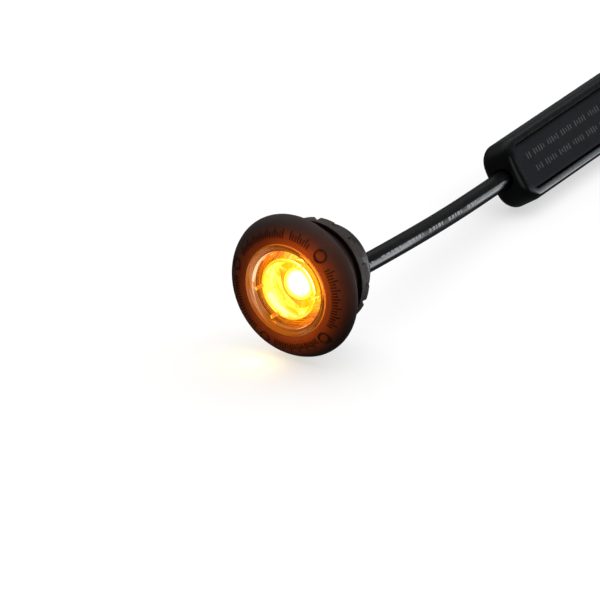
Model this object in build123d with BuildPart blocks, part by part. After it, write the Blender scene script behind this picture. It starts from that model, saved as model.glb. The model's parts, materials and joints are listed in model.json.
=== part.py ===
from build123d import *
import os
from math import cos, pi, radians, sin, tan

# Round LED turn signal in a rubber grommet, with its cable, inline module and coiled tail.
# Millimetres. The lamp's axis lies along Y, its lens faces -Y and its rim stands on z = 0.
# Each lamp piece is given by radii about that axis and by places along Y.

# ---- grommet ----
rim_r = 14.5
lip_r = 9.9
bore_r = 8.85
recess_r = 9.4
groove_r = 10.3
rear_flange_r = 11.15
block_r = 10.9
tail_r = 9.7
front_y = -8.8
lens_front_y = -8.6
recess_floor_y = -6.55
rim_y = -5.4
flange_back_y = -4.4
groove_end_y = 1.1
rear_flange_end_y = 2.75
grommet_end_y = 5.1
rim_land = 0.2
rim_bevel = 1.2
flange_round = 0.4
pip_count = 20
pip_r = 0.55
pip_circle_r = 11.9
pip_height = 1.6
pip_root = 0.5
block_count = 15
block_gap = 0.9
block_flat = 1.3
block_step = 0.3

# ---- lens and optic ----
lens_r = 9.35
lens_flange_back_y = -6.6
lens_floor_y = -3.0
lens_back_y = -2.0
lens_bevel = 0.25
moat_bevel = 0.2
moat_top_r = 8.0
moat_floor_r = 6.9
column_r = 4.45
column_hole_r = 4.55
column_dome_y = -8.55
head_r = 6.2
head_back_y = -7.3
column_edge_y = -8.1
column_back_r = 3.2
column_back_y = -1.0
rib_offset = 3.1
rib_thickness = 0.7
rib_depth = 1.2
rib_reach_r = 7.5
optic_turn = 33.0

# ---- housing and electronics of the lamp ----
housing_r = 8.8
housing_bore_r = 8.0
housing_ledge_r = 7.2
housing_end_y = 8.8
rear_wall = 1.5
board_r = 7.9
board_t = 1.0
fit_gap = 0.05
reflector_mouth_r = 6.6
reflector_throat_r = 3.5
emitter_size = (1.9, 1.5, 0.85)
emitter_pitch = 2.7
potting_y = 2.6
resistor_size = (3.2, 1.6, 0.6)
resistor_pitch = 3.0
resistor_place = -3.6
diode_size = (4.3, 2.6, 1.1)
diode_place = (1.2, 3.6)

# ---- cable ----
cable_r = 1.95
cable_x = 1.6
cable_drop = 2.5
gland_r = 2.6
gland_flange_r = 3.4
gland_flange_t = 1.0
gland_proud = 0.5
gland_bore_r = 1.97
gland_bevel = 0.2
lead_r = 0.6
lead_pitch = 1.7

# ---- inline module, lying on its long lower edge ----
module_start = (-7.6, 82.2, 7.23)
module_dir = (-0.0906, 0.9959, 0.0)
label_normal = (0.8427, 0.0767, 0.5329)
module_length = 60.0
module_w = 14.0
module_t = 8.0
module_corner_r = 4.4
module_edge_r = 2.2
cover_length = 54.8
cover_w = 9.0
cover_t = 1.2
cover_corner_r = 2.2
cover_gap = 0.15
cover_bevel = 0.15
cavity_length = 53.0
cavity_w = 8.0
cavity_depth = 5.6
cavity_corner_r = 1.7
module_board_length = 46.0
module_board_w = 7.6
module_board_t = 1.0
module_potting_length = 47.0
module_potting_t = 1.2
component_corner_r = 0.3
inductor_r = 2.6
inductor_height = 2.6
inductor_place = 34.5
module_resistor_size = (3.2, 2.5, 0.6)
module_resistor_pitch = 4.0
module_resistor_place = 41.6
seal_r = 2.4
seal_setback = 0.8
seal_length = 3.4
module_lead_r = 0.55
module_lead_length = 4.5

# ---- coiled tail ----
coil_lead_in = 27.0
coil_mean_r = 21.45
coil_turns = 2.5
turn_pitch = 2 * cable_r
tie_w = 4.0
tie_t = 0.55
coil_lift = 0.6
hump = 0.6
jacket_end_run = 38.0
core_r = 0.65
core_pitch = 1.36
core_spread = 5.0
core_run = 22.0
tip_r = 0.4
tip_length = 6.0

# ---- places worked out from the sizes above ----
axis_z = rim_r
cable_z = axis_z - cable_drop
rear_wall_y = housing_end_y - rear_wall
cable_start_y = rear_wall_y - gland_flange_t
lamp_axis = Axis((0, 0, axis_z), (0, 1, 0))
lamp_section = Plane.XY.offset(axis_z)
cable_axis = Axis((cable_x, 0, cable_z), (0, 1, 0))
cable_section = Plane(origin=(cable_x, 0, cable_z), x_dir=(1, 0, 0), z_dir=(0, 0, 1))
module_plane = Plane(origin=module_start, x_dir=module_dir, z_dir=label_normal)
label_axis = Axis(module_start, label_normal)
along_module = Vector(*module_dir).normalized()
module_origin = Vector(*module_start)
module_floor_h = module_t / 2 - cover_t - cavity_depth
module_board_h = module_floor_h + module_potting_t + module_board_t

# The turns of the coil: an outer and an inner one on the floor, then one in the groove between them.
# The cable comes in along the outer turn, on the coil's -X side, and leaves the top one on its +X side.
inner_turn_r = coil_mean_r - cable_r
outer_turn_r = coil_mean_r + cable_r
low_turn_z = coil_lift + cable_r
high_turn_z = low_turn_z + turn_pitch * sin(radians(60))
coil_touch = module_origin + along_module * (module_length + coil_lead_in)
coil_x = coil_touch.X + outer_turn_r * along_module.Y
coil_y = coil_touch.Y - outer_turn_r * along_module.X
end_x = coil_x + coil_mean_r
jacket_end_y = coil_y - jacket_end_run
coil_section = Plane(origin=(coil_x, coil_y, 0), x_dir=(1, 0, 0), z_dir=(0, -1, 0))
coil_axis = Axis((coil_x, coil_y, 0), (0, 0, 1))

os.makedirs("parts", exist_ok=True)


def finish(piece, name):
    """Label one finished piece and write its file."""
    piece.part.label = name
    export_step(piece.part, f"parts/{name}.step")


def lamp_plane(y):
    """A plane across the lamp's axis that faces -Y, with X to the right and Z up."""
    return Plane(origin=(0, y, axis_z), x_dir=(1, 0, 0), z_dir=(0, -1, 0))


def optic_plane(y):
    """The same plane, turned with the optic about the lamp's axis."""
    turn = radians(optic_turn)
    return Plane(origin=(0, y, axis_z), x_dir=(cos(turn), 0, sin(turn)), z_dir=(0, -1, 0))


def cable_plane(y):
    """A plane across the cable's exit, facing -Y."""
    return Plane(origin=(cable_x, y, cable_z), x_dir=(1, 0, 0), z_dir=(0, -1, 0))


def module_level(h):
    """A plane parallel to the module's label face, at height h above its middle."""
    return module_plane.offset(h)


def corner_radii(points):
    """The largest arc that each corner of a route has room for: 0.45 of its shorter run."""
    radii = []
    for before, corner, after in zip(points, points[1:], points[2:]):
        arrive, leave = corner - before, after - corner
        turn = radians(arrive.get_angle(leave))
        radii.append(0.45 * min(arrive.length, leave.length) / tan(turn / 2))
    return radii


def report_cord(name, radii, path, piece):
    """Print a cord's arc radii and length, and its volume over its section, which is the same length."""
    length = sum(edge.length for edge in path.edges())
    swept = piece.part.volume / (pi * cable_r**2)
    print(name, "radii", [round(r) for r in radii], "length", round(length, 1), "swept", round(swept, 1))
    return length


# ================= grommet =================
with BuildPart() as grommet:
    with BuildSketch(lamp_section):
        with BuildLine():
            Line((recess_r, lens_front_y), (lip_r, front_y))
            TangentArc((lip_r, front_y), (rim_r, rim_y), tangent=(1, 0))
            Polyline(
                (rim_r, rim_y),
                (rim_r, rim_y + rim_land),
                (rim_r - rim_bevel, flange_back_y),
                (groove_r, flange_back_y),
                (groove_r, groove_end_y),
                (rear_flange_r - flange_round, groove_end_y),
            )
            CenterArc((rear_flange_r - flange_round, groove_end_y + flange_round), flange_round, 270, 90)
            Polyline(
                (rear_flange_r, groove_end_y + flange_round),
                (rear_flange_r, rear_flange_end_y),
                (block_r, rear_flange_end_y + block_step),
                (block_r, rear_flange_end_y + block_step + block_flat),
                (tail_r, grommet_end_y),
                (bore_r, grommet_end_y),
                (bore_r, recess_floor_y),
                (recess_r, recess_floor_y),
                (recess_r, lens_front_y),
            )
        make_face()
    revolve(axis=lamp_axis)
    # gaps that leave the tail as a ring of blocks
    with BuildSketch(lamp_plane(grommet_end_y)):
        with PolarLocations((tail_r + rear_flange_r) / 2, block_count):
            Rectangle(rear_flange_r - tail_r + block_step, block_gap)
    extrude(amount=grommet_end_y - rear_flange_end_y - block_step, mode=Mode.SUBTRACT)
    # sealing pips on the back of the front flange
    with BuildSketch(lamp_plane(flange_back_y - pip_root)):
        with PolarLocations(pip_circle_r, pip_count):
            Circle(pip_r)
    extrude(amount=-(pip_height + pip_root))
finish(grommet, "grommet")

# ================= lens =================
with BuildPart() as lens:
    with BuildSketch(lamp_section):
        with BuildLine():
            Polyline(
                (lens_r, lens_front_y + lens_bevel),
                (lens_r - lens_bevel, lens_front_y),
                (moat_top_r + moat_bevel, lens_front_y),
                (moat_top_r, lens_front_y + moat_bevel),
                (moat_floor_r, lens_floor_y),
                (column_hole_r, lens_floor_y),
                (column_hole_r, lens_back_y),
                (housing_bore_r - fit_gap, lens_back_y),
                (housing_bore_r - fit_gap, lens_flange_back_y),
                (lens_r, lens_flange_back_y),
                close=True,
            )
        make_face()
    revolve(axis=lamp_axis)
finish(lens, "lens")

# ================= inner optic =================
with BuildPart() as inner_optic:
    with BuildSketch(lamp_section):
        with BuildLine():
            TangentArc((0, column_dome_y), (head_r, column_edge_y), tangent=(1, 0))
            Polyline(
                (head_r, column_edge_y),
                (head_r, head_back_y),
                (column_r, lens_floor_y),
                (column_r, lens_back_y),
                (column_back_r, column_back_y),
                (0, column_back_y),
                (0, column_dome_y),
            )
        make_face()
    revolve(axis=lamp_axis)
    with BuildSketch(optic_plane(column_edge_y)):
        with Locations((0, rib_offset), (0, -rib_offset)):
            Rectangle(2 * housing_bore_r, rib_thickness)
        Circle(rib_reach_r, mode=Mode.INTERSECT)
    extrude(amount=-rib_depth)
finish(inner_optic, "inner_optic")

# ================= reflector =================
with BuildPart() as reflector:
    with BuildSketch(lamp_section):
        with BuildLine():
            Polyline(
                (reflector_mouth_r, lens_back_y + fit_gap),
                (board_r, lens_back_y + fit_gap),
                (board_r, -fit_gap),
                (reflector_throat_r, -fit_gap),
                close=True,
            )
        make_face()
    revolve(axis=lamp_axis)
finish(reflector, "reflector")

# ================= lamp circuit board and its components =================
with BuildPart() as led_board:
    with BuildSketch(lamp_plane(board_t)):
        Circle(board_r)
    extrude(amount=board_t)
finish(led_board, "led_board")

with BuildPart() as led_emitters:
    with BuildSketch(optic_plane(0)):
        with GridLocations(0, emitter_pitch, 1, 2):
            Rectangle(emitter_size[0], emitter_size[1])
    extrude(amount=emitter_size[2])
finish(led_emitters, "led_emitters")

with BuildPart() as board_resistors:
    with BuildSketch(lamp_plane(board_t + resistor_size[2])):
        with Locations((resistor_place, resistor_pitch / 2), (resistor_place, -resistor_pitch / 2)):
            Rectangle(resistor_size[0], resistor_size[1])
    extrude(amount=resistor_size[2])
finish(board_resistors, "board_resistors")

with BuildPart() as board_diode:
    with BuildSketch(lamp_plane(board_t + diode_size[2])):
        with Locations(diode_place):
            Rectangle(diode_size[0], diode_size[1])
    extrude(amount=diode_size[2])
finish(board_diode, "board_diode")

# ================= lamp housing =================
with BuildPart() as lamp_housing:
    with BuildSketch(lamp_section):
        with BuildLine():
            Line((housing_r, lens_flange_back_y), (housing_r, rear_wall_y))
            CenterArc((housing_r - rear_wall, rear_wall_y), rear_wall, 0, 90)
            Polyline(
                (housing_r - rear_wall, housing_end_y),
                (0, housing_end_y),
                (0, rear_wall_y),
                (housing_ledge_r, rear_wall_y),
                (housing_ledge_r, board_t),
                (housing_bore_r, board_t),
                (housing_bore_r, lens_flange_back_y),
                (housing_r, lens_flange_back_y),
            )
        make_face()
    revolve(axis=lamp_axis)
    with BuildSketch(cable_plane(housing_end_y)):
        Circle(gland_r)
    extrude(amount=rear_wall, mode=Mode.SUBTRACT)
finish(lamp_housing, "lamp_housing")

# ================= potting that seals the back of the lamp =================
with BuildPart() as potting:
    with BuildSketch(lamp_plane(rear_wall_y)):
        Circle(housing_ledge_r)
    extrude(amount=rear_wall_y - potting_y)
    with BuildSketch(cable_plane(rear_wall_y)):
        Circle(gland_flange_r)
    extrude(amount=gland_flange_t, mode=Mode.SUBTRACT)
    with BuildSketch(cable_plane(rear_wall_y)):
        with GridLocations(lead_pitch, 0, 2, 1):
            Circle(lead_r)
    extrude(amount=rear_wall_y - potting_y, mode=Mode.SUBTRACT)
finish(potting, "potting")

# ================= cable gland =================
with BuildPart() as cable_gland:
    with BuildSketch(cable_section):
        with BuildLine():
            Polyline(
                (gland_bore_r, cable_start_y),
                (gland_flange_r, cable_start_y),
                (gland_flange_r, rear_wall_y),
                (gland_r, rear_wall_y),
                (gland_r, housing_end_y + gland_proud - gland_bevel),
                (gland_r - gland_bevel, housing_end_y + gland_proud),
                (gland_bore_r, housing_end_y + gland_proud),
                close=True,
            )
        make_face()
    revolve(axis=cable_axis)
finish(cable_gland, "cable_gland")

# ================= leads from the cable to the lamp's board =================
for name, side in (("lead_live", 1), ("lead_ground", -1)):
    with BuildPart() as lead:
        with BuildSketch(cable_plane(cable_start_y)):
            with Locations((side * lead_pitch / 2, 0)):
                Circle(lead_r)
        extrude(amount=cable_start_y - board_t)
    finish(lead, name)

# ================= cable from the lamp to the module =================
front_route = [
    Vector(cable_x, cable_start_y, cable_z),
    Vector(cable_x, 19.6, cable_z),
    Vector(0.5, 33.0, 11.3),
    Vector(-2.8, 49.6, 9.15),
    module_origin - along_module * 14.5,
    module_origin + along_module * (seal_setback + seal_length),
]
front_radii = corner_radii(front_route)

with BuildPart() as cable_front:
    with BuildLine() as front_path:
        FilletPolyline(*front_route, radius=front_radii)
    with BuildSketch(Plane(origin=front_path.line @ 0, z_dir=front_path.line % 0)):
        Circle(cable_r)
    sweep()
report_cord("cable_front", front_radii, front_path, cable_front)
finish(cable_front, "cable_front")

# ================= module case =================
with BuildPart() as module_case:
    with BuildSketch(module_level(-module_t / 2)):
        with Locations((module_length / 2, 0)):
            RectangleRounded(module_length, module_w, module_corner_r)
    extrude(amount=module_t)
    broad_faces = module_case.faces().filter_by(GeomType.PLANE).sort_by(label_axis)
    fillet(broad_faces[0].edges() + broad_faces[-1].edges(), module_edge_r)
    with BuildSketch(module_level(module_t / 2)):
        with Locations((module_length / 2, 0)):
            RectangleRounded(
                cover_length + 2 * cover_gap, cover_w + 2 * cover_gap, cover_corner_r + cover_gap
            )
    extrude(amount=-cover_t, mode=Mode.SUBTRACT)
    with BuildSketch(module_level(module_t / 2 - cover_t)):
        with Locations((module_length / 2, 0)):
            RectangleRounded(cavity_length, cavity_w, cavity_corner_r)
    extrude(amount=-cavity_depth, mode=Mode.SUBTRACT)
    with BuildSketch(Plane(origin=module_start, x_dir=label_normal, z_dir=module_dir)):
        Circle(seal_r)
    extrude(amount=module_length, mode=Mode.SUBTRACT)
finish(module_case, "module_case")

with BuildPart() as module_cover:
    with BuildSketch(module_level(module_t / 2 - cover_t)):
        with Locations((module_length / 2, 0)):
            RectangleRounded(cover_length, cover_w, cover_corner_r)
    extrude(amount=cover_t)
    chamfer(module_cover.faces().sort_by(label_axis)[-1].edges(), cover_bevel)
finish(module_cover, "module_cover")

# ================= module board, potting and components =================
with BuildPart() as module_potting:
    with BuildSketch(module_level(module_floor_h)):
        with Locations((module_length / 2, 0)):
            RectangleRounded(module_potting_length, cavity_w, cavity_corner_r)
    extrude(amount=module_potting_t)
finish(module_potting, "module_potting")

with BuildPart() as module_board:
    with BuildSketch(module_level(module_board_h)):
        with Locations((module_length / 2, 0)):
            Rectangle(module_board_length, module_board_w)
    extrude(amount=-module_board_t)
finish(module_board, "module_board")

# name: (width along the module, width across it, height, middle along the module)
board_blocks = {
    "module_regulator": (6.6, 6.1, 2.3, 18.0),
    "module_capacitor": (7.3, 4.3, 2.9, 27.0),
    "module_diode": (4.6, 2.7, 2.2, 48.5),
}
for name, (long, wide, high, middle) in board_blocks.items():
    with BuildPart() as block:
        with BuildSketch(module_level(module_board_h)):
            with Locations((middle, 0)):
                RectangleRounded(long, wide, component_corner_r)
        extrude(amount=high)
    finish(block, name)

with BuildPart() as module_inductor:
    with BuildSketch(module_level(module_board_h)):
        with Locations((inductor_place, 0)):
            Circle(inductor_r)
    extrude(amount=inductor_height)
finish(module_inductor, "module_inductor")

with BuildPart() as module_resistors:
    with BuildSketch(module_level(module_board_h)):
        with Locations((module_resistor_place, 0)):
            with GridLocations(module_resistor_pitch, module_resistor_pitch, 2, 2):
                Rectangle(module_resistor_size[0], module_resistor_size[1])
    extrude(amount=module_resistor_size[2])
finish(module_resistors, "module_resistors")

# ================= seals and leads at the module's two ends =================
for end, seal_name, leads_name in (
    (0, "module_seal_front", "module_leads_front"),
    (1, "module_seal_rear", "module_leads_rear"),
):
    inward = along_module * (1 - 2 * end)
    end_point = module_origin + along_module * module_length * end
    with BuildPart() as seal:
        with BuildSketch(
            Plane(origin=end_point + inward * seal_setback, x_dir=label_normal, z_dir=inward)
        ):
            Circle(seal_r)
            Circle(gland_bore_r, mode=Mode.SUBTRACT)
        extrude(amount=seal_length)
    finish(seal, seal_name)
    with BuildPart() as leads:
        with BuildSketch(
            Plane(
                origin=end_point + inward * (seal_setback + seal_length),
                x_dir=label_normal,
                z_dir=inward,
            )
        ):
            with GridLocations(0, lead_pitch, 1, 2):
                Circle(module_lead_r)
        extrude(amount=module_lead_length)
    finish(leads, leads_name)

# ================= cable from the module to the coil =================
tail_route = [
    module_origin + along_module * (module_length - seal_setback - seal_length),
    module_origin + along_module * (module_length + 6.0),
    coil_touch - along_module * 10.0 + Vector(0, 0, low_turn_z + 0.6 - module_origin.Z),
    coil_touch - along_module * 2.5 + Vector(0, 0, low_turn_z + 0.1 - module_origin.Z),
]
tail_radii = corner_radii(tail_route)

with BuildPart() as cable_tail:
    with BuildLine() as tail_path:
        FilletPolyline(*tail_route, radius=tail_radii)
    with BuildSketch(Plane(origin=tail_path.line @ 0, z_dir=tail_path.line % 0)):
        Circle(cable_r)
    sweep()
tail_length = report_cord("cable_tail", tail_radii, tail_path, cable_tail)
finish(cable_tail, "cable_tail")

# ================= coil and its tie =================
with BuildPart() as cable_coil:
    with BuildSketch(coil_section):
        with BuildLine():
            CenterArc((inner_turn_r, low_turn_z), cable_r, 0, 360)
            CenterArc((outer_turn_r, low_turn_z), cable_r, 0, 360)
            CenterArc((coil_mean_r, high_turn_z), cable_r, 0, 360)
        make_hull()
    revolve(axis=coil_axis)
finish(cable_coil, "cable_coil")

with BuildPart() as coil_tie:
    with BuildSketch(coil_section.offset(-tie_w / 2)):
        with BuildLine():
            CenterArc((inner_turn_r, low_turn_z), cable_r + tie_t, 0, 360)
            CenterArc((outer_turn_r, low_turn_z), cable_r + tie_t, 0, 360)
            CenterArc((coil_mean_r, high_turn_z), cable_r + tie_t, 0, 360)
        make_hull()
    extrude(amount=tie_w)
    add(cable_coil.part, mode=Mode.SUBTRACT)
finish(coil_tie, "coil_tie")

# ================= free end: jacket, two insulated cores and their bare tips =================
end_route = [
    Vector(end_x - 0.3, coil_y - 3.0, high_turn_z + 0.2),
    Vector(end_x, coil_y - 8.0, high_turn_z + hump + 0.1),
    Vector(end_x, coil_y - 13.0, high_turn_z + hump + 0.1),
    Vector(end_x, coil_y - 20.0, high_turn_z - 1.0),
    Vector(end_x, coil_y - 29.0, cable_r),
    Vector(end_x, jacket_end_y, cable_r),
]
end_radii = corner_radii(end_route)
with BuildPart() as cable_end:
    with BuildLine() as end_path:
        FilletPolyline(*end_route, radius=end_radii)
    with BuildSketch(Plane(origin=end_path.line @ 0, z_dir=end_path.line % 0)):
        Circle(cable_r)
    sweep()
end_length = report_cord("cable_end", end_radii, end_path, cable_end)
finish(cable_end, "cable_end")

for polarity, side in (("live", 1), ("ground", -1)):
    core_route = [
        Vector(end_x + side * core_pitch / 2, jacket_end_y, cable_r),
        Vector(end_x + side * core_pitch / 2, jacket_end_y - core_run * 0.25, cable_r - 0.1),
        Vector(end_x + side * core_spread / 2, jacket_end_y - core_run * 0.65, core_r),
        Vector(end_x + side * core_spread / 2, jacket_end_y - core_run, core_r),
    ]
    with BuildPart() as core:
        with BuildLine() as core_path:
            FilletPolyline(*core_route, radius=corner_radii(core_route))
        with BuildSketch(Plane(origin=core_path.line @ 0, z_dir=core_path.line % 0)):
            Circle(core_r)
        sweep()
    finish(core, f"core_{polarity}")
    with BuildPart() as tip:
        with BuildSketch(Plane(origin=core_route[-1], z_dir=(0, -1, 0))):
            Circle(tip_r)
        extrude(amount=tip_length)
    finish(tip, f"tip_{polarity}")

coiled_length = coil_turns * 2 * pi * coil_mean_r
print("coil middle", round(coil_x, 2), round(coil_y, 2))
print("jacket end", round(end_x, 2), round(jacket_end_y, 2))
print("tail length", round(tail_length + coiled_length + end_length))
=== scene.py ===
import json
from math import atan2, cos, pi, radians, sin, sqrt, tan

import bmesh
import bpy
from mathutils import Matrix, Vector

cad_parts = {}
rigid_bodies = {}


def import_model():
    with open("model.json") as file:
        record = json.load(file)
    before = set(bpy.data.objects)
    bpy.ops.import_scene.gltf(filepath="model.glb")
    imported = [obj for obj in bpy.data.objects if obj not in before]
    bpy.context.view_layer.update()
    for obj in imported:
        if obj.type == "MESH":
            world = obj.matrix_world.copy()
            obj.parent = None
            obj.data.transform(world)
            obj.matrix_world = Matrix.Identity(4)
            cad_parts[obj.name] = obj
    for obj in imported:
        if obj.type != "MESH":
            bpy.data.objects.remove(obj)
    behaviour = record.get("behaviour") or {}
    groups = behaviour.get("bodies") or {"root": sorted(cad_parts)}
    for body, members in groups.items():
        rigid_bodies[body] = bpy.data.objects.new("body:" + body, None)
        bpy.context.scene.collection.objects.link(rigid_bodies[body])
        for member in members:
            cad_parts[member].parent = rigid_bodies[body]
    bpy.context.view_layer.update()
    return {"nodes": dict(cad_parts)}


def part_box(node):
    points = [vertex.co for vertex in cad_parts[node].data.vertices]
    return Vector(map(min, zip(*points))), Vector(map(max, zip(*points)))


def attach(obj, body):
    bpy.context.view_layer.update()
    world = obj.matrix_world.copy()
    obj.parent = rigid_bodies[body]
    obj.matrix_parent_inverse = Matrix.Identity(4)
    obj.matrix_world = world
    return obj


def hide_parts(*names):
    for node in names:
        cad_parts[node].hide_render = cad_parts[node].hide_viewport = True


# Round LED turn signal in its rubber grommet, with its cable, inline module and coiled tail.
# The row frame is in metres: the lamp's axis lies along Y, its lens faces -Y, its rim stands on z = 0.
# Outlines are given in millimetres, as radii and places along the axis that they turn about.

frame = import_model()
MM = 0.001


def vec(*xyz):
    """A point given in millimetres."""
    return Vector(xyz) * MM


# ---------------- places that come from the frame ----------------
rim_low, rim_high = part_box("grommet")
axis_z = (rim_low.z + rim_high.z) / 2 / MM
lamp_matrix = Matrix.Translation(vec(0, 0, axis_z))
cable_d = 3.9
cable_r = cable_d / 2
cable_x, cable_z = 1.6, 12.0
rim_y = -5.4

# ---------------- camera ----------------
azimuth, elevation, distance = radians(33.9), radians(21.8), 1.2
sensor_width, focal_length = 36, 373.2
aim_right, aim_down = 1.003, 2.778
cam_back = Vector((sin(azimuth) * cos(elevation), -cos(azimuth) * cos(elevation), sin(elevation)))
cam_right = Vector((cos(azimuth), sin(azimuth), 0))
cam_up = cam_back.cross(cam_right)
aim = vec(0, rim_y, axis_z) + (cam_right * aim_right - cam_up * aim_down) * MM
camera = bpy.data.objects.new("camera", bpy.data.cameras.new("camera"))
bpy.context.scene.collection.objects.link(camera)
camera.data.sensor_width = sensor_width
camera.data.lens = focal_length
camera.data.clip_start, camera.data.clip_end = 0.05, 20
camera.rotation_mode = "QUATERNION"
camera.rotation_quaternion = cam_back.to_track_quat("Z", "Y")
camera.location = aim + cam_back * distance
bpy.context.scene.camera = camera


# ---------------- mesh tools ----------------
# Edges that bend by more than this many degrees are left sharp, unless a piece says otherwise.
sharp_angle = 32


def shown(name, data):
    """Put a mesh or curve in the scene as an object."""
    thing = bpy.data.objects.new(name, data)
    bpy.context.scene.collection.objects.link(thing)
    return thing


def solid(name, points, faces, matrix=None, sharp=sharp_angle):
    """An object from points in millimetres and faces, with edges sharper than that angle left sharp."""
    mesh = bpy.data.meshes.new(name)
    bm = bmesh.new()
    corners = [bm.verts.new(Vector(p) * MM) for p in points]
    for face in faces:
        bm.faces.new([corners[i] for i in face])
    bmesh.ops.remove_doubles(bm, verts=bm.verts, dist=1e-7)
    bmesh.ops.recalc_face_normals(bm, faces=bm.faces)
    bm.to_mesh(mesh)
    bm.free()
    if matrix is not None:
        mesh.transform(matrix)
    mesh.shade_smooth()
    mesh.set_sharp_from_angle(angle=radians(sharp))
    return shown(name, mesh)


def rounded(corners, steps=5):
    """An outline whose corners (a, b, radius) are rounded off; a corner with no radius stays as it is."""
    out = []
    for i, corner in enumerate(corners):
        here = Vector(corner[:2])
        radius = corner[2] if len(corner) > 2 else 0
        if not radius:
            out.append(tuple(here))
            continue
        before = Vector(corners[i - 1][:2]) - here
        after = Vector(corners[(i + 1) % len(corners)][:2]) - here
        half = before.angle(after) / 2
        reach = radius / tan(half)
        start, end = here + before.normalized() * reach, here + after.normalized() * reach
        middle = here + (before.normalized() + after.normalized()).normalized() * radius / sin(half)
        a0 = atan2(start.y - middle.y, start.x - middle.x)
        turn = (atan2(end.y - middle.y, end.x - middle.x) - a0 + pi) % (2 * pi) - pi
        for k in range(steps + 1):
            angle = a0 + turn * k / steps
            out.append((middle.x + radius * cos(angle), middle.y + radius * sin(angle)))
    return out


def lathe_data(outline, steps, start=0.0, sweep=2 * pi):
    """Points and faces of an outline (radius, y) turned about the Y axis, all round or through a part of it."""
    whole = sweep > 2 * pi - 1e-6
    columns = steps if whole else steps + 1
    points, faces = [], []
    for k in range(columns):
        angle = start + sweep * k / steps
        points += [(r * cos(angle), y, r * sin(angle)) for r, y in outline]
    n = len(outline)
    for k in range(steps):
        a, b = k * n, (k + 1) % columns * n
        for i in range(n):
            j = (i + 1) % n
            on_axis = outline[i][0] < 1e-6, outline[j][0] < 1e-6
            if all(on_axis):
                continue
            if on_axis[0]:
                faces.append((a + i, a + j, b + j))
            elif on_axis[1]:
                faces.append((a + i, a + j, b + i))
            else:
                faces.append((a + i, a + j, b + j, b + i))
    if not whole:
        faces += [tuple(range(n)), tuple(range((columns - 1) * n, columns * n))]
    return points, faces


def lathe(name, outline, steps=160, matrix=None):
    """A closed solid of revolution about the lamp's axis, or about the Y axis of the matrix."""
    points, faces = lathe_data(outline, steps)
    return solid(name, points, faces, lamp_matrix if matrix is None else matrix)


def joined(*groups):
    """One list of points and one of faces from several."""
    points, faces = [], []
    for some_points, some_faces in groups:
        first = len(points)
        points += some_points
        faces += [tuple(first + i for i in face) for face in some_faces]
    return points, faces


def turned(group, matrix):
    """Points and faces moved by a matrix in millimetres."""
    return [tuple(matrix @ Vector(p)) for p in group[0]], group[1]


def plan_ring(length, width, corner, inset, bulge=0.0, steps=9):
    """A rounded rectangle, inset by that much, whose ends may bulge; as many points for any inset."""
    radius = max(corner - inset, 0.02)
    half = width / 2 - inset
    a, b = length / 2 - inset, half - radius
    quarter_ring = []
    for i in range(steps + 1):
        angle = pi / 2 * i / steps
        y = b + radius * sin(angle)
        quarter_ring.append((a - radius + radius * cos(angle) - bulge * (y / half) ** 2, y))
    quarter_ring = [(a - bulge * (b * k / 4 / half) ** 2, b * k / 4) for k in range(4)] + quarter_ring
    upper = quarter_ring + [(-x, y) for x, y in reversed(quarter_ring)]
    return upper + [(x, -y) for x, y in reversed(upper[1:-1])]


def plate_data(length, width, corner, profile, middle=(0, 0), bulge=0.0):
    """A closed solid whose plan is a rounded rectangle: profile is (inset, height) from bottom to top."""
    rings = [plan_ring(length, width, corner, inset, bulge) for inset, _ in profile]
    n = len(rings[0])
    points = [
        (x + middle[0], y + middle[1], height)
        for ring, (_, height) in zip(rings, profile)
        for x, y in ring
    ]
    faces = [
        (k * n + i, k * n + (i + 1) % n, (k + 1) * n + (i + 1) % n, (k + 1) * n + i)
        for k in range(len(profile) - 1)
        for i in range(n)
    ]
    last = (len(profile) - 1) * n
    return points, faces + [tuple(range(n)), tuple(range(last, last + n))]


def tube_data(path, radius, sides=10):
    """A closed round tube along points in millimetres, with flat ends."""
    points, faces = [], []
    side = None
    for i, here in enumerate(path):
        ahead = (path[min(i + 1, len(path) - 1)] - path[max(i - 1, 0)]).normalized()
        if side is None:
            side = ahead.orthogonal().normalized()
        side = (side - ahead * side.dot(ahead)).normalized()
        other = ahead.cross(side)
        for k in range(sides):
            angle = 2 * pi * k / sides
            points.append(tuple(here + (side * cos(angle) + other * sin(angle)) * radius))
    for i in range(len(path) - 1):
        for k in range(sides):
            a, b = i * sides + k, i * sides + (k + 1) % sides
            faces.append((a, b, b + sides, a + sides))
    last = (len(path) - 1) * sides
    return points, faces + [tuple(range(sides)), tuple(range(last, last + sides))]


def combined(thing, operation, *others):
    """Cut other closed meshes out of this one (DIFFERENCE) or make one mesh of them (UNION), and remove them."""
    for other in others:
        change = thing.modifiers.new("change", "BOOLEAN")
        change.operation = operation
        change.solver = "EXACT"
        change.object = other
    bpy.context.view_layer.update()
    done = bpy.data.meshes.new_from_object(thing.evaluated_get(bpy.context.evaluated_depsgraph_get()))
    thing.modifiers.clear()
    thing.data = done
    done.shade_smooth()
    done.set_sharp_from_angle(angle=radians(sharp_angle))
    for other in others:
        bpy.data.objects.remove(other)


def rounded_profile(low, high, edge, steps=3):
    """The (inset, height) profile of a plate with rounded edges."""
    bottom = [(edge * (1 - sin(pi / 2 * k / steps)), low + edge * (1 - cos(pi / 2 * k / steps)))
              for k in range(steps + 1)]
    top = [(edge * (1 - cos(pi / 2 * k / steps)), high - edge * (1 - sin(pi / 2 * k / steps)))
           for k in range(steps + 1)]
    return bottom + top


# ---------------- material tools ----------------
def new_material(name):
    """A material with a Principled shader: (material, nodes, links, shader)."""
    material = bpy.data.materials.new(name)
    material.use_nodes = True
    nodes, links = material.node_tree.nodes, material.node_tree.links
    return material, nodes, links, nodes["Principled BSDF"]


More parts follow.
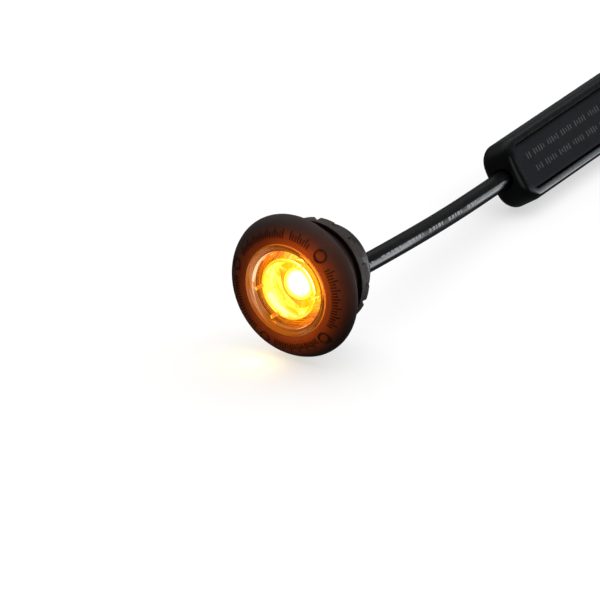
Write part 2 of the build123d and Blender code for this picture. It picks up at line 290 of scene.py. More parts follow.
def node(nodes, kind, **values):
    """A node with its properties and, by name, its inputs set."""
    made = nodes.new(kind)
    for key, value in values.items():
        if hasattr(made, key):
            setattr(made, key, value)
        else:
            made.inputs[key.replace("_", " ")].default_value = value
    return made


def maths(nodes, links, operation, *values):
    """A Math node over numbers and sockets."""
    made = node(nodes, "ShaderNodeMath", operation=operation)
    for socket, value in zip(made.inputs, values):
        if isinstance(value, bpy.types.NodeSocket):
            links.new(value, socket)
        else:
            socket.default_value = value
    return made.outputs[0]


def noise(nodes, links, scale, detail=3.0, stretch=None):
    """Object-space noise; stretch scales the three axes first."""
    place = nodes.new("ShaderNodeTexCoord").outputs["Object"]
    if stretch:
        mapping = node(nodes, "ShaderNodeMapping", Scale=stretch)
        links.new(place, mapping.inputs["Vector"])
        place = mapping.outputs["Vector"]
    made = node(nodes, "ShaderNodeTexNoise", Scale=scale, Detail=detail)
    links.new(place, made.inputs["Vector"])
    return made.outputs["Fac"]


def ramp(nodes, links, value, stops):
    """A colour ramp over a value: stops are (position, colour)."""
    made = nodes.new("ShaderNodeValToRGB")
    elements = made.color_ramp.elements
    while len(elements) < len(stops):
        elements.new(0.5)
    for element, (position, colour) in zip(elements, stops):
        element.position = position
        element.color = (*colour, 1)
    links.new(value, made.inputs["Fac"])
    return made.outputs["Color"]


def map_range(nodes, links, value, from_ends, to_ends=(0.0, 1.0), kind="LINEAR"):
    """A value mapped from one range to another, and held at the ends."""
    made = node(nodes, "ShaderNodeMapRange", interpolation_type=kind)
    for key, number in zip(("From Min", "From Max", "To Min", "To Max"), (*from_ends, *to_ends)):
        made.inputs[key].default_value = number
    links.new(value, made.inputs["Value"])
    return made.outputs["Result"]


def spread(nodes, links, value, low, high):
    """Map a noise value's useful middle range to the range from low to high."""
    return map_range(nodes, links, value, (0.3, 0.7), (low, high))


def graded(nodes, links, value, low, high):
    """A place in millimetres mapped from 0 to 1 between low and high."""
    return map_range(nodes, links, value, (low * MM, high * MM))


def bumps(nodes, links, shader, value, distance):
    """Bump a shader's surface by a value, with heights in millimetres."""
    made = node(nodes, "ShaderNodeBump", Strength=1.0, Distance=distance * MM)
    links.new(value, made.inputs["Height"])
    links.new(made.outputs["Normal"], shader.inputs["Normal"])


def moulded(name, dark, light, rough, grain, grain_height, blotch=150.0, ior=1.5, stretch=None):
    """Moulded rubber or plastic: blotchy colour, and a fine grain that also varies the gloss.

    blotch and grain are noise scales, in patches per metre. The grain's height is in millimetres."""
    material, nodes, links, shader = new_material(name)
    patches = noise(nodes, links, blotch)
    links.new(ramp(nodes, links, patches, ((0.3, dark), (0.7, light))), shader.inputs["Base Color"])
    fine = noise(nodes, links, grain, 4.0, stretch)
    links.new(spread(nodes, links, fine, *rough), shader.inputs["Roughness"])
    bumps(nodes, links, shader, fine, grain_height)
    shader.inputs["IOR"].default_value = ior
    return material


def clear(name, tint, rough, ior=1.585):
    """Clear moulded plastic."""
    material, nodes, links, shader = new_material(name)
    shader.inputs["Base Color"].default_value = (*tint, 1)
    shader.inputs["Transmission Weight"].default_value = 1
    shader.inputs["IOR"].default_value = ior
    links.new(spread(nodes, links, noise(nodes, links, 900.0), *rough), shader.inputs["Roughness"])
    return material


def metal(name, colour, rough, grain):
    """Bright metal with fine marks."""
    material, nodes, links, shader = new_material(name)
    shader.inputs["Metallic"].default_value = 1
    fine = noise(nodes, links, grain)
    darker = tuple(c * 0.82 for c in colour)
    links.new(ramp(nodes, links, fine, ((0.3, darker), (0.7, colour))), shader.inputs["Base Color"])
    links.new(spread(nodes, links, fine, *rough), shader.inputs["Roughness"])
    return material


def axis_distance(nodes, links):
    """Distance from the lamp's axis and place along it, in millimetres, from object coordinates."""
    place = node(nodes, "ShaderNodeTexCoord").outputs["Object"]
    parts = nodes.new("ShaderNodeSeparateXYZ")
    links.new(place, parts.inputs[0])
    flat = nodes.new("ShaderNodeCombineXYZ")
    links.new(parts.outputs["X"], flat.inputs["X"])
    links.new(maths(nodes, links, "SUBTRACT", parts.outputs["Z"], axis_z * MM), flat.inputs["Z"])
    length = node(nodes, "ShaderNodeVectorMath", operation="LENGTH")
    links.new(flat.outputs[0], length.inputs[0])
    return length.outputs["Value"], parts.outputs["Y"]


def dress(thing, material, body="lamp", nodes=()):
    """Give a piece its material, slot and body, and hide the CAD nodes that it stands for."""
    thing.data.materials.clear()
    thing.data.materials.append(material)
    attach(thing, body)
    if nodes:
        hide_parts(*nodes)
    return thing


# ---------------- materials ----------------
rubber_grain = ((0.5, 0.7), 2600.0, 0.02, 130.0, 1.38)
rubber = moulded("rubber", (0.034, 0.022, 0.018), (0.05, 0.034, 0.028), *rubber_grain)
# The raised marks are the rim's rubber painted darker, a painted shade that makes them stand out on the lit rim.
painted_shade_mark_rubber = moulded("marks", (0.008, 0.005, 0.004), (0.013, 0.008, 0.006), *rubber_grain)
housing_black = moulded("housing", (0.010, 0.009, 0.009), (0.016, 0.014, 0.014), (0.35, 0.5), 3200.0, 0.012)
seal_rubber = moulded("seal", (0.008, 0.008, 0.008), (0.014, 0.014, 0.014), (0.5, 0.7), 2600.0, 0.02)
jacket = moulded("jacket", (0.0014, 0.0012, 0.0011), (0.0024, 0.0021, 0.002), (0.17, 0.25), 500.0, 0.006,
                 stretch=(4.0, 0.4, 4.0))
gloss_black = moulded("gloss_black", (0.0035, 0.0035, 0.004), (0.005, 0.005, 0.0055), (0.16, 0.24), 700.0, 0.004)
label_black = moulded("label", (0.012, 0.0125, 0.0155), (0.016, 0.0165, 0.02), (0.26, 0.34), 5200.0, 0.008,
                      ior=1.36)
label_black.node_tree.nodes["Principled BSDF"].inputs["Specular IOR Level"].default_value = 0.08
print_grey = moulded("print", (0.045, 0.041, 0.038), (0.06, 0.056, 0.052), (0.5, 0.6), 5200.0, 0.004)
print_white = moulded("cable_print", (0.24, 0.24, 0.24), (0.36, 0.36, 0.36), (0.45, 0.6), 5200.0, 0.004)
nylon = moulded("nylon", (0.009, 0.009, 0.009), (0.014, 0.014, 0.014), (0.3, 0.45), 1500.0, 0.008)
core_red = moulded("core_red", (0.36, 0.01, 0.008), (0.46, 0.016, 0.012), (0.25, 0.38), 900.0, 0.006)
core_black = moulded("core_black", (0.008, 0.008, 0.008), (0.013, 0.013, 0.013), (0.25, 0.38), 900.0, 0.006)
board_look = ((0.006, 0.05, 0.02), (0.012, 0.085, 0.035), (0.25, 0.4), 900.0, 0.01, 700.0)
board_green = moulded("board", *board_look)
package_black = moulded("package", (0.012, 0.012, 0.013), (0.02, 0.02, 0.021), (0.45, 0.6), 6000.0, 0.01)
tantalum = moulded("tantalum", (0.45, 0.3, 0.1), (0.58, 0.41, 0.16), (0.35, 0.5), 3000.0, 0.006)
ferrite = moulded("ferrite", (0.05, 0.05, 0.053), (0.085, 0.085, 0.09), (0.5, 0.7), 5000.0, 0.02)
resin = moulded("resin", (0.006, 0.006, 0.007), (0.012, 0.012, 0.013), (0.12, 0.22), 250.0, 0.03)
tinned = metal("tinned", (0.78, 0.76, 0.72), (0.22, 0.4), 2500.0)
chrome_painted_glow = metal("chrome_painted_glow", (0.9, 0.88, 0.84), (0.05, 0.12), 700.0)
lens_clear = clear("lens_clear", (1.0, 0.8, 0.5), (0.01, 0.04))
optic_clear = clear("optic_clear", (1.0, 0.85, 0.4), (0.02, 0.06))


# The emitters' hot light, painted into the optic: where along the axis it starts and is full, at which radius, and
# how much of it a ray loses after its first bounce.
core_y, core_radius, core_loss = (-2.6, -1.1), (3.1, 1.9), 0.96
first_bounce = 1.5


def glowing(material, around, along=((0.0, (1, 1, 1)),), strength=1.0, core=0.0):
    """Light given off by the emitters, or painted light on a piece that they light: a colour by its distance from
    the axis times one by its place along it.

    The places are in millimetres. A core adds painted hot light of the emitters at the optic's back; rays past
    their first bounce get little of it, or its mirror images would wash the optic out."""
    nodes, links = material.node_tree.nodes, material.node_tree.links
    shader = nodes["Principled BSDF"]
    radius, place = axis_distance(nodes, links)
    colours = []
    for value, stops in ((radius, around), (place, along)):
        low, high = stops[0][0], max(stops[-1][0], stops[0][0] + 1)
        even = tuple(((at - low) / (high - low), colour) for at, colour in stops)
        colours.append(ramp(nodes, links, graded(nodes, links, value, low, high), even))
    both = node(nodes, "ShaderNodeVectorMath", operation="MULTIPLY")
    for socket, colour in zip(both.inputs, colours):
        links.new(colour, socket)
    links.new(both.outputs[0], shader.inputs["Emission Color"])
    shader.inputs["Emission Strength"].default_value = strength
    if core:
        heat = maths(nodes, links, "MULTIPLY", graded(nodes, links, place, *core_y), core)
        near = maths(nodes, links, "MULTIPLY", heat, graded(nodes, links, radius, *core_radius))
        depth = nodes.new("ShaderNodeLightPath").outputs["Ray Depth"]
        later = maths(nodes, links, "GREATER_THAN", depth, first_bounce)
        straight = maths(nodes, links, "MULTIPLY_ADD", later, -core_loss, 1.0)
        total = maths(nodes, links, "MULTIPLY_ADD", near, straight, strength)
        links.new(total, shader.inputs["Emission Strength"])
    material.cycles.emission_sampling = "NONE"


amber = moulded("amber", (0.8, 0.42, 0.04), (0.9, 0.5, 0.06), (0.2, 0.3), 3000.0, 0.004)
glowing(amber, ((0.0, (1.0, 0.6, 0.1)), (2.6, (1.0, 0.5, 0.02))), strength=6.0)
# The LED board's middle gets painted amber light from the emitters, fading out towards its edge.
board_painted_glow = moulded("board_painted_glow", *board_look)
glowing(board_painted_glow,
        ((0.0, (1.0, 0.5, 0.05)), (2.4, (0.8, 0.32, 0.02)), (3.6, (0.25, 0.06, 0.003)), (8.0, (0.02, 0.004, 0.0))),
        strength=0.8)
# Painted amber light on the reflector, brightest at its throat and fading outwards.
glowing(chrome_painted_glow, ((3.4, (1.0, 0.4, 0.01)), (5.7, (0.7, 0.18, 0.004)), (8.0, (0.3, 0.06, 0.001))), strength=0.45)
# Painted light in the optic, as if from the emitters behind it: yellow round the axis, brighter towards its back.
glowing(optic_clear,
        ((0.0, (1.0, 0.62, 0.2)), (1.8, (1.0, 0.6, 0.17)), (2.9, (1.0, 0.58, 0.006)), (4.6, (1.0, 0.56, 0.003)),
         (6.3, (0.9, 0.36, 0.001))),
        ((-8.6, (0.34, 0.3, 0.2)), (-7.4, (0.3, 0.22, 0.2)), (-6.6, (0.5, 0.45, 0.4)), (-1.0, (1.0, 1.0, 1.0))),
        strength=0.52, core=13.0)
# Painted amber light in the lens, as if from the emitters behind it.
glowing(lens_clear,
        ((4.5, (1.0, 0.3, 0.006)), (6.9, (0.8, 0.16, 0.002)), (7.8, (0.5, 0.1, 0.001)), (8.4, (0.7, 0.15, 0.002)),
         (9.4, (0.7, 0.17, 0.003))), strength=0.2)


# ---------------- grommet ----------------
# The painted shade starts part of the way along this stretch of the axis and goes on to its end.
shade_y, shade_starts, groove_painted_shade = (-7.6, 1.5), (0.48, 0.52), (0.55, 0.25, 0.16)


def paint_groove_shade(material):
    """Paint shade on the rubber between the rim and the rear flange, where little light gets in."""
    nodes, links = material.node_tree.nodes, material.node_tree.links
    base = nodes["Principled BSDF"].inputs["Base Color"]
    place = axis_distance(nodes, links)[1]
    dim = node(nodes, "ShaderNodeVectorMath", operation="MULTIPLY")
    links.new(base.links[0].from_socket, dim.inputs[0])
    white = (1, 1, 1)
    fading, full = shade_starts
    stops = ((0.0, white), (fading, white), (full, groove_painted_shade), (0.99, groove_painted_shade), (1.0, white))
    links.new(ramp(nodes, links, graded(nodes, links, place, *shade_y), stops), dim.inputs[1])
    links.new(dim.outputs[0], base)


# The rubber gets painted shade in the groove between the rim and the rear flange.
paint_groove_shade(rubber)
rim_r, lip_r, front_y, rim_land, rim_bevel = 14.5, 9.9, -8.8, 0.2, 1.2
recess_r, recess_y, recess_edge_y = 9.4, -6.55, -8.6
flange_back_y, groove_r, groove_end_y = -4.4, 10.3, 1.3
rear_flange_r, rear_flange_end_y = 11.15, 2.75
block_r, tail_r, grommet_end_y, bore_r = 10.9, 9.7, 5.1, 8.85


def dome_height(radius):
    """Where the front of the rim is, along Y, at that radius."""
    wide, deep = rim_r - lip_r, rim_y - front_y
    ball = (wide**2 + deep**2) / (2 * deep)
    return front_y + ball - sqrt(ball**2 - (radius - lip_r) ** 2)


dome_steps = 22
dome_radii = [lip_r + (rim_r - lip_r) * k / dome_steps for k in range(dome_steps)]
dome = [(radius, dome_height(radius)) for radius in dome_radii]
grommet_outline = (
    [(bore_r, recess_y), (recess_r, recess_y), (recess_r, recess_edge_y), (recess_r + 0.15, front_y + 0.05)]
    + dome
    + rounded([(rim_r, rim_y), (rim_r, rim_y + rim_land, 0.1), (rim_r - rim_bevel, flange_back_y, 0.2),
               (groove_r, flange_back_y, 0.15)], 4)
    + rounded([(groove_r, groove_end_y, 0.15), (rear_flange_r, groove_end_y, 0.12),
               (rear_flange_r, rear_flange_end_y, 0.35), (tail_r + 0.4, rear_flange_end_y, 0.1),
               (tail_r, grommet_end_y, 0.25), (bore_r, grommet_end_y, 0.15)], 5)
)
block_outline = rounded([
    (tail_r - 0.3, rear_flange_end_y - 0.2), (block_r, rear_flange_end_y - 0.2, 0.05),
    (block_r, rear_flange_end_y + 1.6, 0.35), (tail_r + 0.15, grommet_end_y - 0.1, 0.1),
    (tail_r - 0.3, grommet_end_y - 0.15),
], 4)
block_count, block_gap = 15, 1.5
block_sweep = 2 * pi / block_count - block_gap / block_r
blocks = [
    lathe_data(block_outline, 10, 2 * pi * k / block_count + block_gap / block_r / 2, block_sweep)
    for k in range(block_count)
]
pip_count, pip_circle_r, pip_r, pip_height, pip_root = 20, 11.9, 0.55, 1.6, 0.2
pip_outline = rounded([(0, 0), (pip_r, 0, 0.1), (pip_r, pip_height, 0.4), (0, pip_height)], 5)
pips = []
for k in range(pip_count):
    angle = 2 * pi * k / pip_count
    place = Matrix.Translation((pip_circle_r * cos(angle), flange_back_y - pip_root, pip_circle_r * sin(angle)))
    pips.append(turned(lathe_data(pip_outline, 14), place))
grommet = solid("grommet_shell", *joined(lathe_data(grommet_outline, 240), *blocks, *pips), lamp_matrix)
dress(grommet, rubber, "grommet_body", ["grommet"])


def tick_data(angle, inner, outer, width, height=0.14):
    """One raised radial bar that follows the front of the rim."""
    points, faces = [], []
    for k in range(6):
        radius = inner + (outer - inner) * k / 5
        base = dome_height(radius)
        end = 0 if k in (0, 5) else height
        for side, lift in ((-0.5, -0.15), (-0.3, end), (0.3, end), (0.5, -0.15)):
            across = side * width
            points.append((
                radius * cos(angle) - across * sin(angle), base - lift,
                radius * sin(angle) + across * cos(angle),
            ))
    for k in range(5):
        for i in range(4):
            faces.append((k * 4 + i, k * 4 + (i + 1) % 4, k * 4 + 4 + (i + 1) % 4, k * 4 + 4 + i))
    return points, faces + [(0, 1, 2, 3), (20, 21, 22, 23)]


def ring_data(angle, radius, size):
    """One raised plain ring that lies on the front of the rim."""
    rise = dome_height(radius + 0.1) - dome_height(radius - 0.1)
    outline = rounded([(size - 0.3, 0.25), (size - 0.3, -0.12, 0.06), (size, -0.12, 0.06), (size, 0.25)], 3)
    place = Matrix.Rotation(-angle, 4, "Y") @ Matrix.Translation((radius, dome_height(radius), 0))
    return turned(lathe_data(outline, 36), place @ Matrix.Rotation(atan2(rise, 0.2), 4, "Z"))


# Generic raised marks. Each group of radial bars: its middle in degrees, how many bars, and which bar of every
# three is longer. Each plain ring: its place in degrees, and its radius.
bar_pitch, bar_inner_r, bar_outer_r, long_bar_outer_r, bar_width = 3.0, 10.7, 12.0, 12.6, 0.36
ring_circle_r = 11.7
ring_places = ((165, 1.2), (48, 1.35), (318, 1.2), (245, 1.2))
mark_groups = ((74, 8, 1), (122, 20, 0), (205, 19, 1), (283, 18, 0), (3, 21, 1))
marks = [ring_data(radians(angle), ring_circle_r, size) for angle, size in ring_places]
for middle, count, longer in mark_groups:
    for k in range(count):
        angle = radians(middle + (k - (count - 1) / 2) * bar_pitch)
        outer = long_bar_outer_r if k % 3 == longer else bar_outer_r
        marks.append(tick_data(angle, bar_inner_r, outer, bar_width))
grommet_marks = solid("grommet_marks", *joined(*marks), lamp_matrix, 50)
dress(grommet_marks, painted_shade_mark_rubber, "grommet_body")

# ---------------- lens ----------------
lens_r, lens_wall_r, lens_hole_r, lens_flange_y, moat_floor_y, lens_back_y = 9.35, 7.95, 4.55, -6.6, -3.0, -2.0
# The moat's wall goes in by small steps, which show as the concentric lines of the lens.
moat_y, step_in, step_deep, ledge_in, ledge_deep = -7.4, 0.16, 0.9, 0.14, 0.07
moat_steps = []
for k in range(5):
    r, y = 7.7 - step_in * k, moat_y + step_deep * k
    moat_steps += [(r, y), (r - ledge_in, y + ledge_deep)]
lens_outline = (
    rounded([(lens_r, lens_flange_y), (lens_r, -8.8, 0.3), (8.75, -8.85, 0.25), (lens_wall_r, -8.3, 0.12),
             (7.75, moat_y)], 5)
    + moat_steps[1:]
    + rounded([(6.9, moat_floor_y, 0.25), (lens_hole_r, moat_floor_y), (lens_hole_r, lens_back_y),
               (lens_wall_r, lens_back_y, 0.1), (lens_wall_r, lens_flange_y)], 4)
)
lens = lathe("lens_shell", lens_outline, 200)
dress(lens, lens_clear, nodes=["lens"])

# ---------------- inner optic ----------------
optic_turn = radians(33)
optic_matrix = lamp_matrix @ Matrix.Rotation(-optic_turn, 4, "Y")
head_r, column_r, dome_y, edge_y, dome_rise = 6.2, 4.45, -8.6, -8.1, 0.5
head_back_y, column_back_y, column_back_r = -7.3, -1.0, 3.2
column_outline = [(head_r * k / 12, dome_y + dome_rise * (k / 12) ** 2) for k in range(12)]
column_outline += rounded([
    (head_r, edge_y, 0.2), (head_r, head_back_y, 0.3), (column_r, moat_floor_y), (column_r, lens_back_y),
    (column_back_r, column_back_y, 0.1), (0, column_back_y),
], 5)
optic = lathe("optic_column", column_outline, 160, optic_matrix)


rib_reach_r, rib_t, rib_proud, rib_depth, rib_round = 7.5, 0.7, 0.1, 1.1, 0.1
rib_offsets = (2.8, -3.4)


def rib(offset):
    """A thin bar across the optic, level with its top edge."""
    length = 2 * sqrt(rib_reach_r**2 - offset**2)
    profile = rounded_profile(edge_y - rib_proud, edge_y + rib_depth, rib_round)
    return plate_data(length, rib_t, rib_round, profile, (0, offset))


# A plate's plan lies in X and Z here and its height runs along Y.
flat_to_lamp = Matrix(((1, 0, 0, 0), (0, 0, 1, 0), (0, 1, 0, 0), (0, 0, 0, 1)))
ribs = [solid("rib", *turned(rib(offset), flat_to_lamp), optic_matrix) for offset in rib_offsets]
combined(optic, "UNION", *ribs)
dress(optic, optic_clear, nodes=["inner_optic"])

# ---------------- reflector, emitters, housing and gland ----------------
mouth_r, throat_r, board_r, mouth_y, throat_y = 6.6, 3.5, 7.9, -1.95, -0.05
reflector_outline = rounded([
    (mouth_r, mouth_y, 0.15), (board_r, mouth_y, 0.1), (board_r, throat_y, 0.1), (throat_r, throat_y, 0.1),
], 3)
dress(lathe("reflector_bowl", reflector_outline), chrome_painted_glow, nodes=["reflector"])

emitters = []
chip_pitch = 2.7
for offset in (chip_pitch / 2, -chip_pitch / 2):
    chip = plate_data(1.9, 1.5, 0.15, rounded_profile(-0.85, -0.02, 0.06), (0, offset))
    emitters.append(turned(chip, flat_to_lamp))
emitter_chips = solid("emitter_chips", *joined(*emitters), optic_matrix)
dress(emitter_chips, amber, nodes=["led_emitters"])

housing_r, housing_bore_r, ledge_r, housing_end_y, rear_wall_y, ledge_y = 8.8, 8.0, 7.2, 8.8, 7.3, 1.0
housing_outline = rounded([
    (housing_r, lens_flange_y, 0.1), (housing_r, housing_end_y, 1.5), (0, housing_end_y), (0, rear_wall_y),
    (ledge_r, rear_wall_y, 0.2), (ledge_r, ledge_y), (housing_bore_r, ledge_y), (housing_bore_r, lens_flange_y),
], 8)
housing = lathe("housing_shell", housing_outline, 200)
cable_matrix = Matrix.Translation(vec(cable_x, 0, cable_z))
gland_r, gland_flange_r, gland_bore_r, gland_start_y = 2.6, 3.4, 1.96, 6.3
hole = lathe("hole", [(0, 5.0), (gland_r, 5.0), (gland_r, 10.0), (0, 10.0)], 96, cable_matrix)
combined(housing, "DIFFERENCE", hole)
dress(housing, housing_black, nodes=["lamp_housing"])
gland_outline = rounded([
    (gland_bore_r, gland_start_y), (gland_flange_r, gland_start_y, 0.1), (gland_flange_r, rear_wall_y, 0.1),
    (gland_r, rear_wall_y), (gland_r, 8.75, 0.05), (2.95, 8.85, 0.1), (2.75, 9.2, 0.15), (2.15, 9.3, 0.1),
    (gland_bore_r, 9.25),
], 4)
gland = lathe("gland_ring", gland_outline, 96, cable_matrix)
dress(gland, seal_rubber, nodes=["cable_gland"])


# ---------------- cords ----------------
def cord_curve(name, points, radius):
    """A round cord whose centreline is the NURBS spline with these control points, in millimetres."""
    data = bpy.data.curves.new(name, "CURVE")
    data.dimensions = "3D"
    data.bevel_depth = radius * MM
    data.bevel_resolution = 10
    data.resolution_u = 12
    data.use_fill_caps = True
    spline = data.splines.new("NURBS")
    spline.points.add(len(points) - 1)
    for target, point in zip(spline.points, points):
        target.co = (*(Vector(point) * MM), 1)
    spline.order_u = 3
    spline.use_endpoint_u = True
    return shown(name, data)


def centreline(cord):
    """Points of a cord's centreline, in millimetres."""
    bare = bpy.data.objects.new("bare", cord.data.copy())
    bare.data.bevel_depth = 0
    mesh = bpy.data.meshes.new_from_object(bare)
    line = [v.co / MM for v in mesh.vertices]
    bpy.data.objects.remove(bare)
    return line


def smooth(t):
    """A smooth step from 0 to 1."""
    t = min(max(t, 0), 1)
    return t * t * (3 - 2 * t)


module_start = Vector((-7.6, 82.2, 7.23))
along = Vector((-0.0906, 0.9959, 0)).normalized()
label_normal = Vector((0.8427, 0.0767, 0.5329)).normalized()
module_length = 60.0
module_end = module_start + along * module_length

# How far inside the module its seals reach; each cord has one end there.
seal_end = 4.2
front_route = [
    (cable_x, gland_start_y, cable_z),
    (cable_x, 19.6, cable_z),
    (0.5, 33.0, 11.3),
    (-2.8, 49.6, 9.15),
    module_start - along * 14.5,
    module_start + along * seal_end,
]
cable_front = cord_curve("cable_front_cord", front_route, cable_r)

# The coil: an outer and an inner turn on the floor, then one in the groove between them.
coil_mean_r, coil_lift = 21.45, 0.6
low_z = coil_lift + cable_r
inner_r, outer_r = coil_mean_r - cable_r, coil_mean_r + cable_r
high_z = low_z + cable_d * sin(radians(60))
coil_lead_in = 27
coil_touch = module_end + along * coil_lead_in
coil_middle = coil_touch + Vector((along.y, -along.x, 0)) * outer_r
coil_middle.z = 0
start_angle = atan2(coil_touch.y - coil_middle.y, coil_touch.x - coil_middle.x)
total_turn = start_angle % (2 * pi) + 4 * pi
coil_steps = 45
coil_step = total_turn / coil_steps
# Degrees of winding where the cable moves in, where it climbs, and where it starts up and starts down again over
# the place where the turn below moves in; then how many degrees each takes, and how high the hump is.
moves_in, climbs, humps_up, humps_down = 290, 590, 645, 695
move_span, hump_span, hump = 60, 25, 0.6


def coil_point(turned_by):
    """A point of the winding: out on the floor, in on the floor, then up and round on top."""
    t = turned_by * 180 / pi
    climb = radians(180 - 60 * smooth((t - climbs) / move_span))
    radius = outer_r + (inner_r - outer_r) * smooth((t - moves_in) / move_span)
    if t > climbs:
        radius = outer_r + cable_d * cos(climb)
    height = low_z + cable_d * sin(climb)
    height += hump * (smooth((t - humps_up) / hump_span) - smooth((t - humps_down) / hump_span))
    angle = start_angle - turned_by
    radius /= cos(coil_step / 2)
    return coil_middle + Vector((radius * cos(angle), radius * sin(angle), height))


end_x = coil_middle.x + coil_mean_r
jacket_end_run = 38
jacket_end_y = coil_middle.y - jacket_end_run
hump_z = high_z + 0.7
tail_route = [
    module_end - along * seal_end,
    module_end + along * 6.0,
    coil_touch - along * 10.0 + Vector((0, 0, low_z + 0.6 - module_start.z)),
    coil_touch - along * 2.5 + Vector((0, 0, low_z + 0.1 - module_start.z)),
]
tail_route += [coil_point((i + 0.5) * coil_step) for i in range(coil_steps)]
tail_route += [
    (end_x, coil_middle.y - 8, hump_z),
    (end_x, coil_middle.y - 13, hump_z),
    (end_x, coil_middle.y - 20, high_z - 1.0),
    (end_x, coil_middle.y - 29, cable_r),
    (end_x, jacket_end_y, cable_r),
]
cable_tail = cord_curve("cable_tail_cord", tail_route, cable_r)
dress(cable_front, jacket, nodes=["cable_front"])
dress(cable_tail, jacket, nodes=["cable_tail", "cable_coil", "cable_end"])

# Generic print along the cable: short plain dashes on its upper side.
front_line = centreline(cable_front)
dash_proud, dash_sunk = 0.012, 0.05


def dash_data(line, at, length, width, facing, radius):
    """A thin patch on a cord's surface, centred that far along it and on the side that faces a direction."""
    spans = [(b - a).length for a, b in zip(line, line[1:])]
    points, faces = [], []
    for k in range(5):
        left = at + length * (k / 4 - 0.5)
        i = 0
        while i < len(spans) - 1 and left > spans[i]:
            left -= spans[i]
            i += 1
        ahead = (line[i + 1] - line[i]).normalized()
        here = line[i] + ahead * left
        up = (facing - ahead * facing.dot(ahead)).normalized()
        side = ahead.cross(up)
        for j in range(5):
            angle = width / radius * (j / 4 - 0.5)
            out = up * cos(angle) + side * sin(angle)
            points += [tuple(here + out * (radius + dash_proud)), tuple(here + out * (radius - dash_sunk))]
    for k in range(4):
        for j in range(4):
            a, b = (k * 5 + j) * 2, ((k + 1) * 5 + j) * 2
            faces += [(a, a + 2, b + 2, b), (a + 1, b + 1, b + 3, a + 3)]
    rim = list(range(5)) + [5 * k + 4 for k in range(1, 5)]
    rim += [20 + j for j in range(3, -1, -1)] + [5 * k for k in range(3, 0, -1)]
    for a, b in zip(rim, rim[1:] + rim[:1]):
        faces.append((2 * a, 2 * b, 2 * b + 1, 2 * a + 1))
    return points, faces


print_facing = Vector((0.93, 0.13, 0.34))
dash_lengths, dash_count, dash_width = (1.3, 1.3, 0.7, 1.3, 0.7), 28, 0.7
dash_gap, group_gap = 0.55, 3.0
dashes = []
at = 3.5
for k in range(dash_count):
    long = dash_lengths[k % 5]
    dashes.append(dash_data(front_line, at + long / 2, long, dash_width, print_facing, cable_r))
    at += long + (dash_gap if k % 5 < 4 else group_gap)
cable_dashes = solid("cable_print", *joined(*dashes), None, 60)
dress(cable_dashes, print_white)

# ---------------- inline module ----------------
across_module = label_normal.cross(along)
module_matrix = Matrix((
    (along.x, across_module.x, label_normal.x, module_start.x * MM),
    (along.y, across_module.y, label_normal.y, module_start.y * MM),
    (along.z, across_module.z, label_normal.z, module_start.z * MM),
    (0, 0, 0, 1),
))
module_w, module_t, edge_r = 14.0, 8.0, 2.2
half_t = module_t / 2
middle = (module_length / 2, 0)


def quarter(start, end, centre, wide, high, steps=8):
    """Profile points (inset, height) round a quarter of an ellipse, between two angles in degrees."""
    out = []
    for k in range(steps + 1):
        angle = radians(start + (end - start) * k / steps)
        out.append((centre[0] + wide * cos(angle), centre[1] + high * sin(angle)))
    return out


rim_w, panel_inset, panel_h, case_corner_r, end_bulge = 1.1, 2.15, half_t - 0.6, 3.6, 1.3
case_profile = (
    quarter(270, 180, (edge_r, -half_t + edge_r), edge_r, edge_r)
    + quarter(180, 92, (rim_w, half_t - edge_r), rim_w, edge_r)
    + [(panel_inset - 0.3, half_t), (panel_inset - 0.29, panel_h - 0.6), (panel_inset - 0.02, panel_h - 0.8)]
)
case_data = plate_data(module_length, module_w, case_corner_r, case_profile, middle, end_bulge)
case = solid("module_shell", *case_data, module_matrix)
seal_r, seal_bore_r, seal_start = 2.4, 1.96, 0.8
# Both ends of the module, each with a matrix whose Y axis points into it.
module_ends = [
    (name, module_matrix @ Matrix.Translation(vec(shift, 0, 0)) @ Matrix.Rotation(turn, 4, "Z"))
    for name, shift, turn in (("front", 0, -pi / 2), ("rear", module_length, pi / 2))
]
hole_outline = [(0, -0.5), (2.5, -0.5), (seal_r, 0.1), (seal_r, 5.0), (0, 5.0)]
holes = [lathe("hole", hole_outline, 64, place) for _, place in module_ends]
combined(case, "DIFFERENCE", *holes)
dress(case, gloss_black, nodes=["module_case"])
cover_profile = [(0.0, panel_h - 0.7)] + quarter(180, 90, (0.3, panel_h - 0.3), 0.3, 0.3, 5) + [(0.8, panel_h)]
cover_l, cover_w, cover_corner_r = module_length - 2 * panel_inset, module_w - 2 * panel_inset, 1.45
cover_data = plate_data(cover_l, cover_w, cover_corner_r, cover_profile, middle, end_bulge)
cover = solid("module_label_plate", *cover_data, module_matrix)
dress(cover, label_black, nodes=["module_cover"])

# Generic print on the cover: two rows of plain bars.
bars = []
print_w, print_pitch, print_start, row_shift = 0.42, 1.05, 7.2, 1.3
print_rows = ((1.7, 32), (-1.5, 34))
bar_heights = (1.3, 1.3, 0.8, 1.3, 1.0)
bar_profile = [(0.0, panel_h - 0.1), (0.0, panel_h + 0.005), (0.02, panel_h + 0.01)]
for row, (offset, count) in enumerate(print_rows):
    for k in range(count):
        if k % 6 == 2 + row:
            continue
        tall = bar_heights[(k + row) % 5]
        place = (print_start + row * row_shift + k * print_pitch, offset)
        bars.append(plate_data(print_w, tall, 0.12, bar_profile, place))
label_bars = solid("label_bars", *joined(*bars), module_matrix, 60)
dress(label_bars, print_grey)

seal_outline = rounded([
    (seal_bore_r, seal_start, 0.15), (seal_r, seal_start, 0.1), (seal_r, seal_end), (seal_bore_r, seal_end),
], 3)
for name, place in module_ends:
    seal = lathe(f"seal_{name}", seal_outline, 64, place)
    dress(seal, seal_rubber, nodes=[f"module_seal_{name}"])


